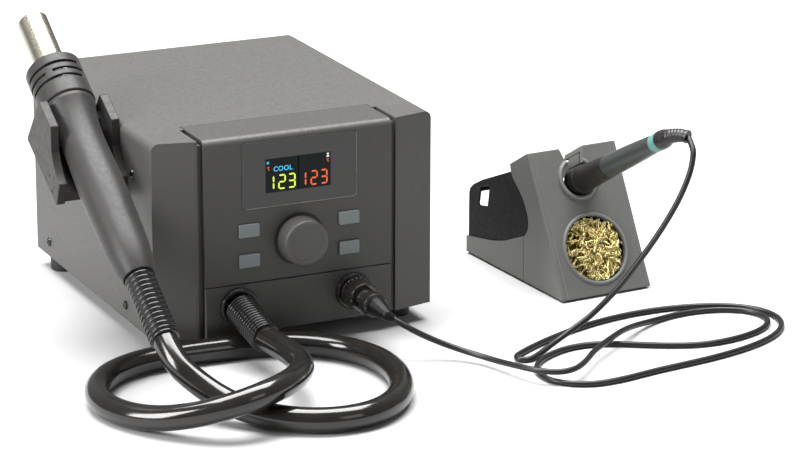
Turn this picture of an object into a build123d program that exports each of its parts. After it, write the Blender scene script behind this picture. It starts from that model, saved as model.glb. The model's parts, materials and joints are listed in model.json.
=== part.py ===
from build123d import *
import math
import os

# Hot-air rework set: station with a hot-air handpiece in a side cradle, and a soldering iron in its own stand.
# Millimetres. +X to the right of the station's front, +Y to its back, +Z up.
# The origin is on the bench, under the middle of the station's case.

# Station case
WIDTH = 190.0
DEPTH = 225.0
CASE_BOTTOM = 11.5
CASE_TOP = 139.5
WALL = 2.0
EDGE_ROUND = 5.0
FRONT = -DEPTH / 2
REAR = DEPTH / 2
HALF = WIDTH / 2
SEAM_Y = -82.0
WING_EDGE_Y = -111.0
WING_SIDE_Y = -104.5
GROOVE_Y = -108.2
PANEL_HALF = 63.7
GROOVE_HALF = 67.2
PANEL_BACK_Y = -109.7
PANEL_WRAP_Y = -75.0
PANEL_SPLIT_Z = 44.4
FIT_GAP = 0.3

# Controls
WINDOW = (78.0, 43.0)
WINDOW_CENTRE = (0.5, 113.8)
LCD = (56.0, 29.6)
LCD_CENTRE = (-0.4, 112.6)
BUTTON = (13.9, 8.5)
BUTTON_CENTRES = {"button_up_left": (-34, 78.8), "button_down_left": (-34, 59.2),
                  "button_up_right": (34, 78.8), "button_down_right": (34, 59.2)}
BUTTON_PROUD = 1.5
KNOB_Z = 69.3
KNOB_RADIUS = 15.0
KNOB_RIDGES = 54
BOARD_Y = -97.0

# Front connections
PORT = Vector(-41.5, FRONT, 29.9)
PORT_RELIEF_END = Vector(-39.5, -150, 21.2)
SOCKET_X = 37.0
SOCKET_Z = 29.7
PLUG_ELBOW = Vector(38.2, -160.5, 28)

# Blower
BLOWER_X = -13.5
BLOWER_Y = 10.0
BLOWER_RADIUS = 42.0
IMPELLER_RADIUS = 36.0
BLADES = 16

# Cradle and handpiece
PLATE = 5.3
CRADLE_GAP = 34.9
HAND_X = -HALF - PLATE - CRADLE_GAP / 2
HAND_TILT = 32.8
HAND_TAIL = Vector(HAND_X, -181.7, 41.0)
HEAD_START = 190.7
HEAD_END = 224.0
HEAD_RADIUS = 18.0
TUBE_END = 267.0
TUBE_RADIUS = 9.75

# Hose and cord
HOSE_DIAMETER = 15.5
CORD_DIAMETER = 3.8

# Iron stand
STAND_X = 187.0
STAND_Y = -113.9
STAND_YAW = 4.0
STAND_WIDTH = 68.3
STAND_FOOT = 1.5
FACE_TILT = 28.4
FACE_LENGTH = 100.6
HOLDER = (33.8, 79.0)
HOLDER_RADIUS = 12.0
WOOL = (34.0, 31.0)
WOOL_RADIUS = 22.2
AXIS_POINT = (34.9, 77.3)
STAND_FOOT_SPOTS = ((7.5, 6), (60.8, 6), (8, 117), (60.3, 117))

os.makedirs("parts", exist_ok=True)
parts = {}


def keep(name, *shapes):
    """Save one node: a single solid or a group of separate ones."""
    parts[name] = list(shapes)


def block(x, y, z):
    """A box between three pairs of limits."""
    size = [b - a for a, b in (x, y, z)]
    middle = [(a + b) / 2 for a, b in (x, y, z)]
    return Pos(*middle) * Box(*size)


def along_y(sketch, y0, y1):
    """A sketch in X and Z, extruded from y0 back to y1."""
    return extrude(Plane.XZ.offset(-y0) * sketch, amount=y1 - y0, dir=(0, 1, 0))


def along_x(sketch, x0, x1):
    """A sketch in Y and Z, extruded from x0 to x1."""
    return extrude(Plane.YZ.offset(x0) * sketch, amount=x1 - x0, dir=(1, 0, 0))


def along_z(sketch, z0, z1):
    """A sketch in X and Y, extruded from z0 up to z1."""
    return extrude(Plane.XY.offset(z0) * sketch, amount=z1 - z0, dir=(0, 0, 1))


def rod(start, end, radius):
    """A round bar between two points."""
    start, end = Vector(*start), Vector(*end)
    bar = Cylinder(radius, (end - start).length, align=(Align.CENTER, Align.CENTER, Align.MIN))
    return Plane(origin=start, z_dir=end - start).location * bar


def taper(start, end, radius0, radius1):
    """A cone between two points."""
    start, end = Vector(*start), Vector(*end)
    cone = Cone(radius0, radius1, (end - start).length, align=(Align.CENTER, Align.CENTER, Align.MIN))
    return Plane(origin=start, z_dir=end - start).location * cone


def turned(profile, origin, direction):
    """A lathe part: (distance along the axis, radius) points, turned about the axis."""
    outline = Plane.XZ * Polygon(*[(r, s) for s, r in profile], align=None)
    return Plane(origin=origin, z_dir=direction).location * revolve(outline, Axis.Z)


def ribbed(length, ribs, core, rib, end_radius):
    """The profile of a ribbed strain relief, tail first."""
    pitch = length / (ribs + 1)
    profile = [(0, 0), (0, end_radius), (pitch * 0.6, end_radius), (pitch * 0.6, core)]
    for i in range(1, ribs + 1):
        at = pitch * i
        profile += [(at + 0.1 * pitch, core), (at + 0.2 * pitch, rib), (at + 0.65 * pitch, rib)]
        profile += [(at + 0.75 * pitch, core)]
    profile += [(length, core), (length, 0)]
    return profile


def pan_head(x, y, z, axis, length=6.0):
    """A pan-head screw with a cross slot; the axis points out of the head."""
    out = Vector(*axis)
    seat = Vector(x, y, z)
    screw = turned([(-length, 0), (-length, 1.4), (0, 1.4), (0, 3.0), (1.0, 2.7), (1.7, 1.6), (1.7, 0)], seat, out)
    frame = Plane(origin=seat + out * 1.7, z_dir=out)
    cross = Box(2.8, 0.7, 1.4) + Box(0.7, 2.8, 1.4)
    return screw - frame.location * cross


# ---- case ----

def case_section(inset):
    """The case seen from the front: flat at the bottom, rounded along its two top edges."""
    width = WIDTH - 2 * inset
    height = CASE_TOP - CASE_BOTTOM - 2 * inset
    plate = Pos(0, (CASE_TOP + CASE_BOTTOM) / 2) * Rectangle(width, height)
    corners = plate.vertices().sort_by(Axis.Y)[-2:]
    return fillet(corners, EDGE_ROUND - inset)


SIDE_SCREWS = [(88.0, 21.7), (-55.4, 21.1), (-72.0, 112.0)]
REAR_SCREWS = [(-86, 20), (86, 20), (-86, 131), (86, 131)]
FOOT_SPOTS = [(-83, 94), (83, 94), (-80, -84), (80, -84)]
CRADLE_SCREWS = [(-46.0, 118.0), (-26.0, 134.0)]


def side_holes():
    return [rod((-HALF - 1, y, z), (-HALF + 5, y, z), 1.6) for y, z in SIDE_SCREWS] + \
           [rod((HALF - 5, y, z), (HALF + 1, y, z), 1.6) for y, z in SIDE_SCREWS] + \
           [rod((-HALF - 1, y, z), (-HALF + 5, y, z), 1.6) for y, z in CRADLE_SCREWS]


def top_cover():
    shell = along_y(case_section(0), SEAM_Y, REAR) - along_y(case_section(WALL), SEAM_Y - 1, REAR + 1)
    shell -= block((-HALF + WALL, HALF - WALL), (SEAM_Y - 1, REAR + 1), (CASE_BOTTOM - 1, CASE_BOTTOM + WALL + 1))
    shell -= block((-PANEL_HALF - 0.5, PANEL_HALF + 0.5), (SEAM_Y - 1, PANEL_WRAP_Y + 0.4), (CASE_TOP - 3, CASE_TOP + 1))
    for hole in side_holes():
        shell -= hole
    keep("top_cover", shell)


def base_tray():
    edge = HALF - WALL - 0.2
    tray = block((-edge, edge), (SEAM_Y + 0.3, REAR - 2.4), (CASE_BOTTOM, CASE_BOTTOM + 2))
    for side in (-1, 1):
        limits = sorted((side * edge, side * (edge - 1.5)))
        tray += block(limits, (SEAM_Y + 4, REAR - 6), (CASE_BOTTOM, CASE_BOTTOM + 15))
    for x, y in STANDOFFS:
        tray += rod((x, y, CASE_BOTTOM + 1), (x, y, POWER_BOARD_Z), 2.5)
    for i in range(7):
        tray -= block((60 + 4 * i, 62 + 4 * i), (-60, -25), (CASE_BOTTOM - 1, CASE_BOTTOM + 3))
    for hole in side_holes():
        tray -= hole
    keep("base_tray", tray)


INLET = (27.6, 31.6)
INLET_CENTRE = (-54.0, 42.0)
FUSE = (27.6, 14.0)
FUSE_CENTRE = (-54.0, 66.0)
ROCKER = (19.6, 13.4)
ROCKER_CENTRE = (-10.0, 46.0)
REAR_PANEL_Y = (REAR - 2.2, REAR)


def plate_hole(size, centre, grow=0.0):
    x, z = centre
    w, h = size[0] / 2 + grow, size[1] / 2 + grow
    return block((x - w, x + w), (REAR - 30, REAR + 10), (z - h, z + h))


def rear_panel():
    edge = HALF - WALL - 0.2
    outline = Pos(0, (CASE_BOTTOM + 2 + CASE_TOP - WALL) / 2) * Rectangle(2 * edge, CASE_TOP - CASE_BOTTOM - WALL - 2.4)
    outline = fillet(outline.vertices().sort_by(Axis.Y)[-2:], 3.2)
    panel = along_y(outline, *REAR_PANEL_Y)
    for size, centre in ((INLET, INLET_CENTRE), (FUSE, FUSE_CENTRE), (ROCKER, ROCKER_CENTRE)):
        panel -= plate_hole(size, centre, 0.2)
    slot = SlotOverall(44, 4)
    for i in range(7):
        panel -= along_y(Pos(45, 60 + 9 * i) * slot, REAR - 5, REAR + 5)
    for x, z in REAR_SCREWS:
        panel -= rod((x, REAR - 5, z), (x, REAR + 5, z), 1.6)
    keep("rear_panel", panel)


def wing_plan(inset):
    """The front end of the case seen from above: two wings swept back from the centre."""
    side = HALF - inset
    slope = (WING_SIDE_Y - WING_EDGE_Y) / (HALF - GROOVE_HALF)
    shift = inset * math.hypot(1, slope)
    points = [(-side, 0), (-side, WING_SIDE_Y + shift - slope * inset), (-GROOVE_HALF, WING_EDGE_Y + shift)]
    points += [(-x, y) for x, y in reversed(points)]
    return Polygon(*points, align=None)


def front_bezel():
    shell = along_y(case_section(0), FRONT, SEAM_Y) & along_z(wing_plan(0), 0, 200)
    cavity = along_y(case_section(2.2), FRONT - 1, SEAM_Y + 1) & along_z(wing_plan(2.2), 0, 200)
    bezel = shell - cavity
    centre = (-GROOVE_HALF, GROOVE_HALF)
    bezel -= block(centre, (FRONT - 1, GROOVE_Y), (0, 200))
    bezel -= block(centre, (GROOVE_Y - 1, SEAM_Y + 1), (CASE_TOP - 3, CASE_TOP + 1))
    bezel += block(centre, (GROOVE_Y, SEAM_Y), (CASE_TOP - 5.4, CASE_TOP - 3.5))
    bezel += block(centre, (GROOVE_Y, GROOVE_Y + 2), (CASE_BOTTOM, CASE_TOP - 3.5))
    for side in (-1, 1):
        inner, outer = sorted((side * GROOVE_HALF, side * (GROOVE_HALF + 2.2)))
        bezel += block((inner, outer), (WING_EDGE_Y + 0.3, SEAM_Y), (CASE_BOTTOM + 1, CASE_TOP - 1))
        for z in (56.0, 128.0):
            bezel += rod((side * 54, GROOVE_Y + 1, z), (side * 54, BOARD_Y, z), 3)
    bezel -= block((-31, 31), (GROOVE_Y - 1, GROOVE_Y + 3), (96, 129.5))
    bezel -= block((-44, 44), (GROOVE_Y - 1, GROOVE_Y + 3), (52, 87))
    for x, z, radius in ((PORT.X, PORT.Z, 10.5), (SOCKET_X, SOCKET_Z, 10.5)):
        bezel -= rod((x, GROOVE_Y - 1, z), (x, GROOVE_Y + 3, z), radius)
    keep("front_bezel", bezel)


def control_panel():
    wrap = 5.0
    with BuildSketch() as side:
        with BuildLine():
            Line((FRONT, PANEL_SPLIT_Z + 0.3), (FRONT, CASE_TOP - wrap))
            RadiusArc((FRONT, CASE_TOP - wrap), (FRONT + wrap, CASE_TOP), wrap)
            Line((FRONT + wrap, CASE_TOP), (PANEL_WRAP_Y, CASE_TOP))
            Line((PANEL_WRAP_Y, CASE_TOP), (PANEL_WRAP_Y, CASE_TOP - 2.3))
            Line((PANEL_WRAP_Y, CASE_TOP - 2.3), (FRONT + wrap, CASE_TOP - 2.3))
            Line((FRONT + wrap, CASE_TOP - 2.3), (PANEL_BACK_Y, CASE_TOP - 3))
            Line((PANEL_BACK_Y, CASE_TOP - 3), (PANEL_BACK_Y, PANEL_SPLIT_Z + 0.3))
            Line((PANEL_BACK_Y, PANEL_SPLIT_Z + 0.3), (FRONT, PANEL_SPLIT_Z + 0.3))
        make_face()
    panel = along_x(side.sketch, -PANEL_HALF, PANEL_HALF)
    recess = RectangleRounded(WINDOW[0] + 0.3, WINDOW[1] + 0.3, 3.2)
    panel -= along_y(Pos(*WINDOW_CENTRE) * recess, FRONT - 1, FRONT + 0.9)
    panel -= along_y(Pos(*LCD_CENTRE) * RectangleRounded(50, 26, 1), FRONT - 1, PANEL_BACK_Y + 1)
    for x, z in BUTTON_CENTRES.values():
        hole = RectangleRounded(BUTTON[0] + 2 * FIT_GAP, BUTTON[1] + 2 * FIT_GAP, 0.9)
        panel -= along_y(Pos(x, z) * hole, FRONT - 1, PANEL_BACK_Y + 1)
    panel -= turned([(-1, 0), (-1, KNOB_RADIUS + 2.2), (0, KNOB_RADIUS + 2), (0.9, KNOB_RADIUS + 0.9), (0.9, 0)],
                    (0, FRONT, KNOB_Z), (0, 1, 0))
    panel -= rod((0, FRONT - 1, KNOB_Z), (0, PANEL_BACK_Y + 1, KNOB_Z), 6)
    keep("control_panel", panel)


def connector_panel():
    panel = block((-PANEL_HALF, PANEL_HALF), (FRONT, PANEL_BACK_Y), (CASE_BOTTOM + 0.3, PANEL_SPLIT_Z - 0.4))
    edges = panel.edges().filter_by(Axis.Z).group_by(Axis.Y)[0]
    panel = fillet(edges, 1.0)
    panel -= rod((PORT.X, FRONT - 1, PORT.Z), (PORT.X, PANEL_BACK_Y + 1, PORT.Z), 8.2)
    panel -= rod((SOCKET_X, FRONT - 1, SOCKET_Z), (SOCKET_X, PANEL_BACK_Y + 1, SOCKET_Z), 9.2)
    keep("connector_panel", panel)


# ---- controls ----

def display():
    pane = RectangleRounded(*WINDOW, 3.0)
    keep("display_window", along_y(Pos(*WINDOW_CENTRE) * pane, FRONT - 0.2, FRONT + 0.8))
    module = along_y(Pos(*LCD_CENTRE) * Rectangle(*LCD), PANEL_BACK_Y + 0.2, BOARD_Y - 0.1)
    keep("lcd_module", module)
    board = block((-58, 58), (BOARD_Y, BOARD_Y + 1.6), (50, 132))
    keep("control_board", board)


def buttons():
    switches = []
    for name, (x, z) in BUTTON_CENTRES.items():
        cap = along_y(Pos(x, z) * RectangleRounded(*BUTTON, 0.8), FRONT - BUTTON_PROUD, FRONT + 3.2)
        cap = fillet(cap.faces().sort_by(Axis.Y)[0].edges(), 0.5)
        flange = block((x - 8, x + 8), (PANEL_BACK_Y + 0.3, PANEL_BACK_Y + 1.1), (z - 5.3, z + 5.3))
        stem = rod((x, FRONT + 3, z), (x, BOARD_Y - 4.6, z), 1.6)
        keep(name, cap + flange + stem)
        switches.append(block((x - 3, x + 3), (BOARD_Y - 3.5, BOARD_Y), (z - 3, z + 3)))
    keep("tact_switches", *switches)


def knob():
    axis_y = (0, 1, 0)
    body = block((-7, 7), (BOARD_Y - 6.5, BOARD_Y), (KNOB_Z - 6.5, KNOB_Z + 6.5))
    body += rod((0, BOARD_Y - 11, KNOB_Z), (0, BOARD_Y - 6, KNOB_Z), 4.4)
    body -= rod((0, BOARD_Y - 12, KNOB_Z), (0, BOARD_Y - 5, KNOB_Z), 3.1)
    body -= rod((0, BOARD_Y - 5, KNOB_Z), (0, BOARD_Y - 1.5, KNOB_Z), 4.6)
    keep("encoder_body", body)
    keep("encoder_plunger", rod((0, BOARD_Y - 3.4, KNOB_Z), (0, BOARD_Y - 2.4, KNOB_Z), 4.2))
    keep("encoder_shaft", rod((0, FRONT - 10, KNOB_Z), (0, BOARD_Y - 3.6, KNOB_Z), 3.0))
    rim = []
    for i in range(2 * KNOB_RIDGES):
        angle = math.pi * i / KNOB_RIDGES
        radius = KNOB_RADIUS - 0.35 * (i % 2)
        rim.append((radius * math.cos(angle), radius * math.sin(angle)))
    grip = along_y(Pos(0, KNOB_Z) * Polygon(*rim, align=None), FRONT - 11.5, FRONT - 0.3)
    crown = turned([(-13, 0), (-13, 13.2), (-12.6, 14.2), (-11.5, 14.6), (-11.5, 0)], (0, FRONT, KNOB_Z), axis_y)
    cap = grip + crown
    cap -= turned([(-14, 0), (-14, 11.9), (-12.6, 11.3), (-12.6, 0)], (0, FRONT, KNOB_Z), axis_y)
    cap -= turned([(-10.2, 5), (-10.2, 13), (1, 13), (1, 5)], (0, FRONT, KNOB_Z), axis_y)
    cap -= rod((0, FRONT - 10, KNOB_Z), (0, FRONT + 1, KNOB_Z), 3.02)
    keep("knob", cap)


# ---- inside ----

POWER_BOARD_Z = 18.0
STANDOFFS = [(40, -60), (86, -60), (40, -5), (86, -5)]


def power_electronics():
    board = block((34, 90), (-66, 1), (POWER_BOARD_Z, POWER_BOARD_Z + 1.6))
    board += rod((50, -20, POWER_BOARD_Z + 1), (50, -20, POWER_BOARD_Z + 26), 9)
    board += block((64, 84), (-58, -38), (POWER_BOARD_Z + 1, POWER_BOARD_Z + 18))
    board += block((62, 86), (-16, -12), (POWER_BOARD_Z + 1, POWER_BOARD_Z + 30))
    keep("power_board", board)
    base = CASE_BOTTOM + 2
    core = block((38, 88), (24, 66), (base, base + 42))
    winding = block((44, 82), (14, 76), (base + 7, base + 35))
    keep("transformer", core + fillet(winding.edges().filter_by(Axis.Z), 6))


def blower():
    base = CASE_BOTTOM + 2
    centre = (BLOWER_X, BLOWER_Y)
    drum = along_z(Pos(*centre) * Circle(BLOWER_RADIUS), base + 5, base + 33)
    drum += rod((PORT.X, BLOWER_Y - 20, PORT.Z), (PORT.X, -44, PORT.Z), 7.4)
    drum += block((PORT.X - 10, PORT.X + 10), (BLOWER_Y - 42, BLOWER_Y), (base + 6, base + 32))
    drum -= along_z(Pos(*centre) * Circle(BLOWER_RADIUS - 2), base + 7, base + 31)
    drum -= rod((PORT.X, BLOWER_Y - 5, PORT.Z), (PORT.X, -45, PORT.Z), 5.9)
    drum -= along_z(Pos(*centre) * Circle(15), base, base + 8)
    drum -= along_z(Pos(*centre) * Circle(4), base + 30, base + 34)
    for angle in (45, 165, 285):
        x = BLOWER_X + 36 * math.cos(math.radians(angle))
        y = BLOWER_Y + 36 * math.sin(math.radians(angle))
        drum += rod((x, y, base), (x, y, base + 6), 3)
    keep("blower_housing", drum)

    wheel = along_z(Pos(*centre) * Circle(IMPELLER_RADIUS), base + 27.5, base + 29.5)
    ring = Circle(IMPELLER_RADIUS) - Circle(IMPELLER_RADIUS - 14)
    wheel += along_z(Pos(*centre) * ring, base + 9, base + 10.5)
    blade = Pos(IMPELLER_RADIUS - 7.5, 0) * Rot(0, 0, 28) * Rectangle(12, 1.2)
    for i in range(BLADES):
        turn = Rot(0, 0, 360 * i / BLADES)
        wheel += along_z(Pos(*centre) * turn * blade, base + 9.5, base + 28)
    wheel += along_z(Pos(*centre) * Circle(7), base + 14, base + 28)
    wheel += along_z(Pos(*centre) * Circle(2), base + 20, base + 52)
    keep("blower_impeller", wheel)

    motor = along_z(Pos(*centre) * Circle(17), base + 33, base + 58)
    motor -= along_z(Pos(*centre) * Circle(2.3), base + 32, base + 53)
    keep("blower_motor", motor)

    tube = rod((PORT.X, -100, PORT.Z), (PORT.X, -33, PORT.Z), 9.2)
    tube -= rod((PORT.X, -101, PORT.Z), (PORT.X, -32, PORT.Z), 7.5)
    keep("air_tube", tube)


# ---- rear inlet ----

def mains_inlet():
    x, z = INLET_CENTRE
    flange = along_y(Pos(x, z + 8) * RectangleRounded(50, 58, 3), REAR, REAR + 2)
    inlet = flange + block((x - 13.5, x + 13.5), (REAR - 26, REAR + 1), (z - 15.6, z + 15.6))
    mouth = Pos(x, z) * RectangleRounded(24.4, 22.4, 3)
    inlet -= along_y(mouth, REAR - 18, REAR + 3)
    inlet -= block((x - 13.2, x + 13.2), (REAR - 22, REAR + 3), (z + 17.2, z + 31.2))
    for side in (-1, 1):
        inlet -= rod((x + side * 20, REAR - 1, z + 8), (x + side * 20, REAR + 3, z + 8), 1.7)
    keep("mains_inlet", inlet)
    pins = []
    for dx, dz in ((-7, -2), (7, -2), (0, 2)):
        pins.append(block((x + dx - 1, x + dx + 1), (REAR - 18, REAR - 3), (z + dz - 2, z + dz + 2)))
    keep("inlet_pins", *pins)
    fx, fz = FUSE_CENTRE
    drawer = block((fx - 12.8, fx + 12.8), (REAR - 20, REAR + 1.6), (fz - 6.4, fz + 6.4))
    drawer += block((fx - 12.8, fx + 12.8), (REAR + 1.5, REAR + 3.2), (fz - 5, fz + 5))
    drawer -= block((fx - 11, fx + 11), (REAR - 21, REAR - 2), (fz - 4.6, fz + 7))
    keep("fuse_drawer", drawer)
    rx, rz = ROCKER_CENTRE
    frame = along_y(Pos(rx, rz) * RectangleRounded(24, 17, 1.5), REAR, REAR + 1.8)
    frame += block((rx - 9.8, rx + 9.8), (REAR - 18, REAR + 1), (rz - 6.7, rz + 6.7))
    frame -= block((rx - 8.4, rx + 8.4), (REAR - 14, REAR + 3), (rz - 5.4, rz + 5.4))
    keep("rocker_frame", frame)
    reach = 7.2
    points = [(-reach, 3.6), (0, 2.0), (reach, 0.6), (reach, -2.6), (0, -5.4), (-reach, -2.6)]
    side = Plane(origin=(rx, REAR, rz), x_dir=(1, 0, 0), z_dir=(0, 0, 1)) * Polygon(*points, align=None)
    keep("rocker", extrude(side, amount=5, both=True))


# ---- front connections ----

def hose_port():
    out = (0, -1, 0)
    ring = [(-14.5, 6), (-14.5, 7.4), (0, 7.4), (0, 12.5), (2.6, 12.5), (3.2, 11.9), (3.2, 10.6), (1.0, 10.6), (1.0, 6)]
    keep("hose_port_flange", turned(ring, PORT, out))
    lean = PORT_RELIEF_END - PORT
    start = PORT + lean.normalized() * 3.6
    length = (PORT_RELIEF_END - start).length
    keep("hose_port_relief", turned(ribbed(length, 12, 8.0, 9.0, 9.2), PORT_RELIEF_END, start - PORT_RELIEF_END))


def iron_connection():
    out = (0, -1, 0)
    at = (SOCKET_X, FRONT, SOCKET_Z)
    socket = [(-15, 0), (-15, 8.8), (0, 8.8), (0, 12), (1.8, 12), (2.6, 11.2), (2.6, 7.2), (-12, 7.2), (-12, 0)]
    keep("iron_socket", turned(socket, at, out))
    plug = [(-9, 0), (-9, 6.6), (20.8, 6.6), (20.8, 5.8), (25.5, 5.8), (26, 7.4), (27, 7.8), (33.5, 7.8), (34.5, 6.6)]
    plug += [(34.5, 0)]
    keep("iron_plug", turned(plug, at, out))
    ring = turned([(3.1, 7.0), (3.1, 9.6), (3.8, 10), (17.7, 10), (18.5, 9.2), (18.5, 7.0)], at, out)
    grooves = 24
    for i in range(grooves):
        angle = 2 * math.pi * i / grooves
        x, z = SOCKET_X + 10.4 * math.cos(angle), SOCKET_Z + 10.4 * math.sin(angle)
        ring -= rod((x, FRONT - 17, z), (x, FRONT - 5, z), 0.8)
    keep("iron_plug_ring", ring)
    start = Vector(SOCKET_X, FRONT - 34.5, SOCKET_Z)
    boot = rod(start, start - Vector(0, 2.4, 0), 6.4) + taper(start - Vector(0, 1.2, 0), PLUG_ELBOW, 6.4, 3.8)
    boot += Pos(*PLUG_ELBOW) * Sphere(3.8)
    keep("iron_plug_boot", boot + taper(PLUG_ELBOW, CORD_ROUTE[0], 3.8, 2.6))


# ---- cradle ----

def cradle_profile():
    with BuildSketch() as profile:
        with BuildLine():
            Line((-30.8, 153.7), (-51.2, 142.4))
            Line((-51.2, 142.4), (-51.5, 126))
            ThreePointArc((-51.5, 126), (-57, 116), (-64.6, 108.3))
            Line((-64.6, 108.3), (-58.5, 93.4))
            Line((-58.5, 93.4), (-6, 123.2))
            Line((-6, 123.2), (-30.8, 153.7))
        make_face()
    return fillet(profile.vertices(), 1.2)


def cradle():
    inner = along_x(cradle_profile(), -HALF - PLATE, -HALF)
    outer_x = -HALF - PLATE - CRADLE_GAP
    outer = along_x(cradle_profile(), outer_x - PLATE, outer_x)
    rail = Polygon((-57.6, 95.2), (-60.6, 101.4), (-13.5, 128), (-8.6, 123), align=None)
    bar = along_x(rail, outer_x - 1, -HALF - PLATE + 1)
    body = inner + outer + bar
    for y, z in ((-47.3, 109.9), (-50.7, 100.7)):
        body -= rod((outer_x - PLATE - 1, y, z), (outer_x - 2, y, z), 1.0)
    for y, z in CRADLE_SCREWS:
        body -= rod((-HALF - PLATE - 1, y, z), (-HALF + 1, y, z), 1.6)
    keep("cradle", body)


# ---- handpiece ----

def hand_direction():
    tilt = math.radians(HAND_TILT)
    return Vector(0, math.cos(tilt), math.sin(tilt))


def hand_point(distance):
    return HAND_TAIL + hand_direction() * distance


def vent_slots():
    """Three rows of vents round the head: long, split and long."""
    slots = []
    for row, (count, sweep, first) in enumerate(((2, 132, 243), (4, 74, 282), (2, 132, 243))):
        for i in range(count):
            turn = 360 * i / count + first
            arc = CenterArc((0, 0), HEAD_RADIUS, turn - sweep / 2, sweep)
            ring = Circle(HEAD_RADIUS + 3) - Circle(HEAD_RADIUS - 4)
            half = math.radians(sweep / 2)
            far = HEAD_RADIUS + 8
            wedge = Polygon((0, 0), (far * math.cos(half), -far * math.sin(half)), (far, 0),
                            (far * math.cos(half), far * math.sin(half)), align=None)
            cut = Rot(0, 0, turn) * (wedge & ring)
            low = 12 + 5.8 * row
            slots.append(along_z(cut, low, low + 2.1))
    return slots


def handpiece():
    axis = hand_direction()
    keep("hand_relief", turned(ribbed(49.3, 12, 7.6, 9.4, 9.25), HAND_TAIL, axis))
    with BuildSketch() as half:
        with BuildLine():
            Line((0, 49.5), (10.2, 49.5))
            Spline((10.2, 49.5), (12.6, 60), (14.4, 90), (14.75, 112), (14.2, 140), (13.75, 160), (15.0, 178), (17.0, 188))
            Line((17.0, 188), (17.0, 190.3))
            Line((17.0, 190.3), (0, 190.3))
            Line((0, 190.3), (0, 49.5))
        make_face()
    frame = Plane(origin=HAND_TAIL, z_dir=axis).location
    grip = frame * revolve(Plane.XZ * half.sketch, Axis.Z)
    grip -= rod(hand_point(56), hand_point(191), 8.6)
    keep("grip", grip)

    length = HEAD_END - HEAD_START
    shell = [(0, 8.8), (0, 17.2), (0.8, 18), (length - 1, 18), (length, 17), (length, 10.4), (length - 1.8, 10.4)]
    shell += [(length - 1.8, 16.2), (2, 16.2), (2, 8.8)]
    head = turned(shell, (0, 0, 0), (0, 0, 1))
    for slot in vent_slots():
        head -= slot
    keep("head_shell", Plane(origin=hand_point(HEAD_START), z_dir=axis, x_dir=(1, 0, 0)).location * head)
    liner = [(193, 13.6), (193, 14.2), (221.6, 14.2), (221.6, 13.6)]
    keep("heat_shield", turned(liner, HAND_TAIL, axis))
    tube = [(196, 9.0), (196, 9.5), (HEAD_END, 9.5), (HEAD_END, TUBE_RADIUS), (TUBE_END - 0.4, TUBE_RADIUS)]
    tube += [(TUBE_END, TUBE_RADIUS - 0.3), (TUBE_END, 9.0)]
    keep("heater_tube", turned(tube, HAND_TAIL, axis))
    core = [(120, 0), (120, 5), (198, 5), (198, 7), (250, 7), (250, 0)]
    keep("heater_core", turned(core, HAND_TAIL, axis))


# ---- hose and cord ----

# The hose's route: out of the port, round the left, along the front of the case, round the right and
# under itself up to the handpiece.
HOSE_ROUTE = [
    (-39.5, -150, 21.2), (-36.5, -169, 20.4), (-36, -190, 20.5), (-41, -211, 22), (-52, -230, 24.5),
    (-67, -246, 26.5), (-86, -256, 26), (-106, -255, 21.5), (-124, -244, 15), (-141, -227, 9.5),
    (-154, -207, 7.75), (-160, -183, 7.75), (-154, -158, 7.75), (-139, -138, 7.75), (-117, -125.5, 7.75),
    (-91, -121, 7.75), (-64, -122, 7.75), (-36, -124.5, 7.75), (-9, -134, 7.75), (14, -154, 7.75),
    (25, -184, 7.75), (22, -218, 7.75), (6, -249, 7.75), (-19, -267, 7.75), (-47, -268, 7.75),
    (-70, -255, 7.75), (-87, -237, 9.5), (-99, -222, 14.5), (-109, -209, 22),
]
HOSE_RISE = [(-117.8, -195.9, 31.85), (-117.8, -181.7, 41)]

# The iron's cord: from the plug to the right, two flat loops on the bench and up to the iron.
CORD_ROUTE = [
    (41.3, -163.8, 25.9), (47, -170, 22), (56, -173, 16.5), (66, -177.5, 11.5), (76, -184, 7.5),
    (85, -195, 5.5), (91, -210, 5.5), (95, -227, 7.5), (101, -242, 8.4), (111.5, -251, 8.4),
    (124, -250, 8.4), (136.5, -240, 8.4), (150, -225, 8.4), (167, -211.5, 8.4), (185, -198, 8.4),
    (203, -184, 5), (223, -173, 1.9), (244, -168, 1.9), (263, -169, 1.9), (277, -174, 1.9),
    (287, -182, 1.9), (291.5, -194, 1.9), (288, -206, 1.9), (278, -216, 1.9), (263, -223, 1.9),
    (245, -227, 1.9), (226, -227, 1.9), (207, -220, 1.9), (190, -210, 1.9), (175, -201, 1.9),
    (160, -196.5, 1.9), (144.5, -197.5, 1.9), (130, -204, 1.9), (118.5, -212, 1.9), (110.5, -223, 1.9),
    (107.5, -236, 1.9), (110, -248, 1.9), (119, -257.5, 1.9), (132, -263, 1.9), (152, -262, 1.9),
    (176, -257, 1.9), (201, -254, 1.9), (227, -250, 1.9), (253, -243, 1.9), (276, -232, 1.9),
    (292, -217, 1.9), (299, -199, 1.9), (295, -181, 1.9), (281, -167, 1.9), (260, -158.5, 1.9),
    (237, -155, 1.9), (213, -155.5, 1.9), (188, -160, 1.9), (164, -168, 1.9), (143, -177.5, 1.9),
    (127, -186, 1.9), (116.5, -192.5, 1.9), (109.5, -197.5, 1.9), (109, -204, 1.9), (115, -206.5, 1.9),
    (124, -201, 2.1), (135.5, -194, 4), (146, -189.3, 6.5),
]
CORD_RISE = [
    (156.5, -187.5, 11), (167.5, -187.5, 17), (177.5, -189, 26), (187, -191.5, 36.5), (195.5, -195, 49.5),
    (203, -199, 62), (210.5, -202.5, 75.5), (218, -204.5, 89), (223, -205.5, 100), (227.5, -204.5, 109.5),
    (230.5, -202, 117), (233, -198, 122.5), (233.5, -190, 127.5),
]


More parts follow.
